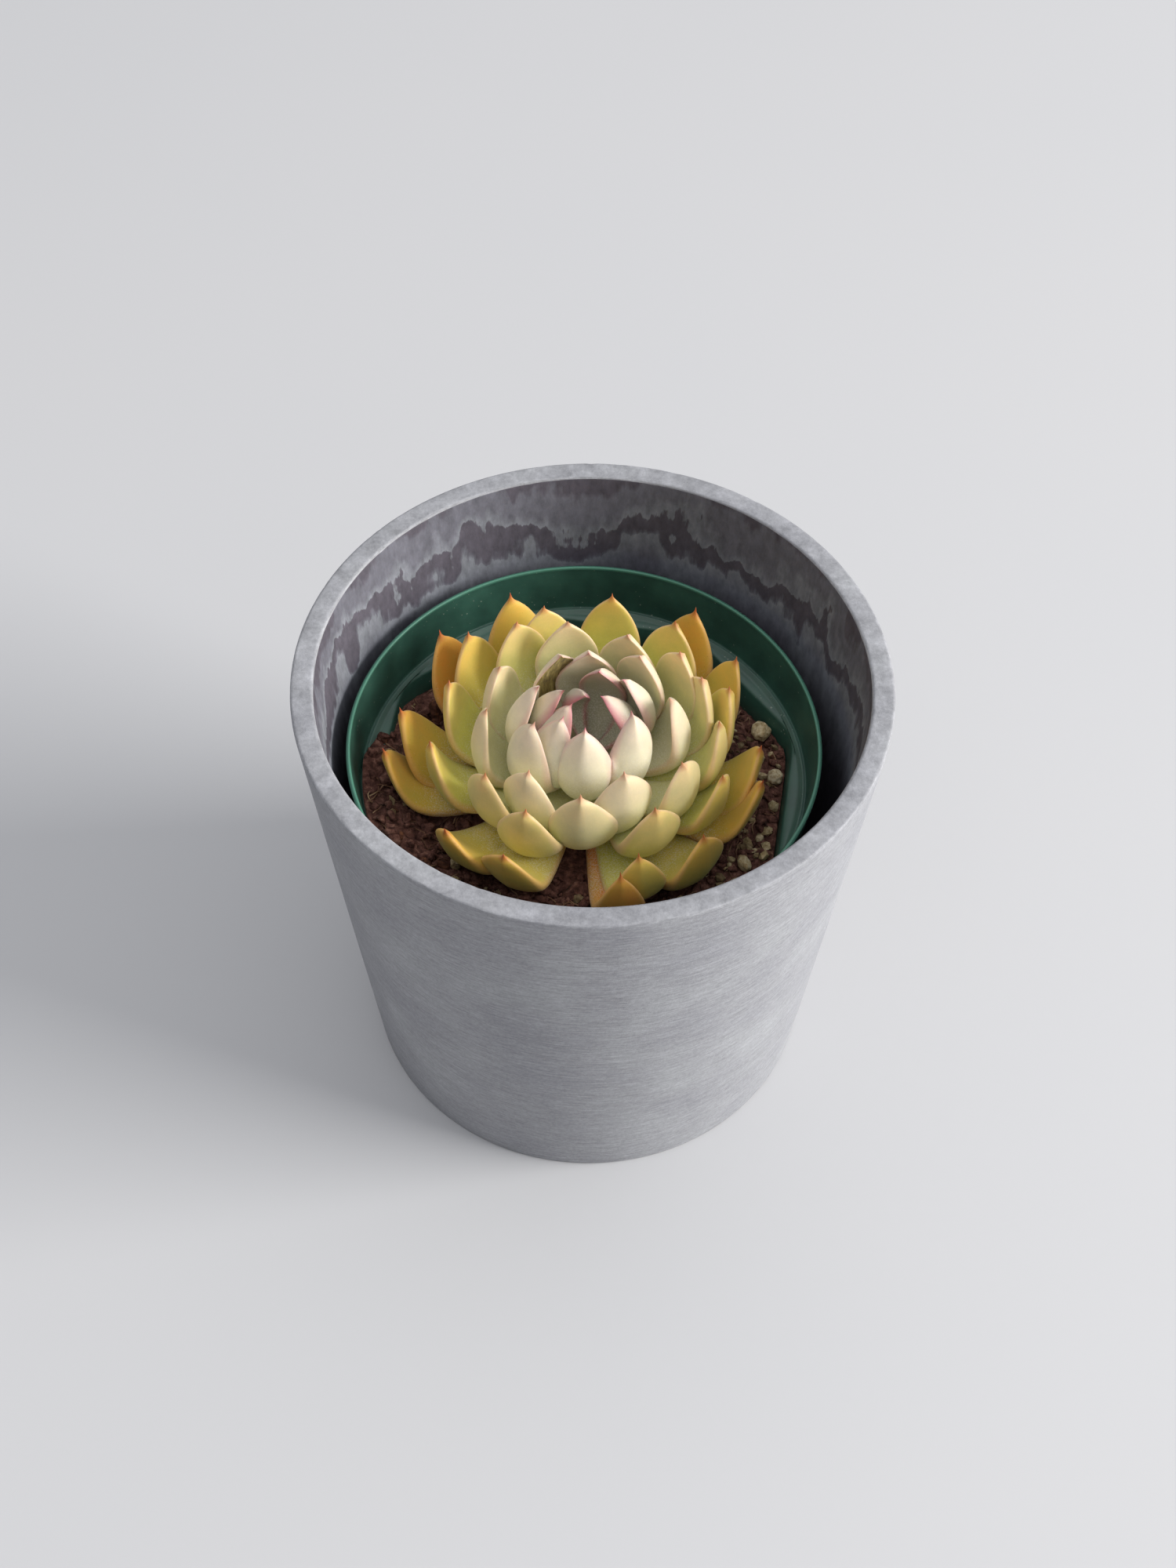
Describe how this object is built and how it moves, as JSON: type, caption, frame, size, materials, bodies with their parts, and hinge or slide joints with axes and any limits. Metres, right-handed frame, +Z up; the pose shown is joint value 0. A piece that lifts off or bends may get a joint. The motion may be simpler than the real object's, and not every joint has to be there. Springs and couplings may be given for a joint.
{
  "type": "potted succulent",
  "caption": "Rosette succulent with fleshy pointed leaves, in soil in a thin nursery pot that stands inside a round tapered stone-look outer pot.",
  "frame": {"origin": "middle of the outer pot's underside, on the surface that it stands on", "axes": "+Z up along the outer pot's axis; -Y towards the front, where the pot is seen from; +X to the right"},
  "size_m": [0.1298, 0.1298, 0.1205],
  "materials": {
    "outer_pot": "matte",
    "nursery_pot": "satin",
    "soil": "matte",
    "stem": "matte",
    "leaf_heart": "satin",
    "leaf_middle": "satin",
    "leaf_outer": "satin",
    "pumice": "matte",
    "bark": "matte"
  },
  "bodies": {
    "root": {"outer_pot": "outer_pot", "nursery_pot": "nursery_pot", "potting_soil": "soil", "stem": "stem", "leaf_01": "leaf_heart", "leaf_02": "leaf_heart", "leaf_03": "leaf_heart", "leaf_04": "leaf_heart", "leaf_05": "leaf_heart", "leaf_06": "leaf_heart", "leaf_07": "leaf_heart", "leaf_08": "leaf_heart", "leaf_09": "leaf_heart", "leaf_10": "leaf_heart", "leaf_11": "leaf_heart", "leaf_12": "leaf_heart", "leaf_13": "leaf_heart", "leaf_14": "leaf_heart", "leaf_15": "leaf_heart", "leaf_16": "leaf_middle", "leaf_17": "leaf_middle", "leaf_18": "leaf_middle", "leaf_19": "leaf_middle", "leaf_20": "leaf_middle", "leaf_21": "leaf_middle", "leaf_22": "leaf_middle", "leaf_23": "leaf_middle", "leaf_24": "leaf_middle", "leaf_25": "leaf_middle", "leaf_26": "leaf_middle", "leaf_27": "leaf_middle", "leaf_28": "leaf_middle", "leaf_29": "leaf_middle", "leaf_30": "leaf_middle", "leaf_31": "leaf_middle", "leaf_32": "leaf_middle", "leaf_33": "leaf_middle", "leaf_34": "leaf_middle", "leaf_35": "leaf_middle", "leaf_36": "leaf_middle", "leaf_37": "leaf_outer", "leaf_38": "leaf_outer", "leaf_39": "leaf_outer", "leaf_40": "leaf_outer", "leaf_41": "leaf_outer", "leaf_42": "leaf_outer", "leaf_43": "leaf_outer", "leaf_44": "leaf_outer", "leaf_45": "leaf_outer", "leaf_46": "leaf_outer", "leaf_47": "leaf_outer", "leaf_48": "leaf_outer", "leaf_49": "leaf_outer", "leaf_50": "leaf_outer", "leaf_51": "leaf_outer", "pumice_piece_1": "pumice", "pumice_piece_2": "pumice", "pumice_piece_3": "pumice", "bark_piece": "bark"}
  },
  "joints": []
}
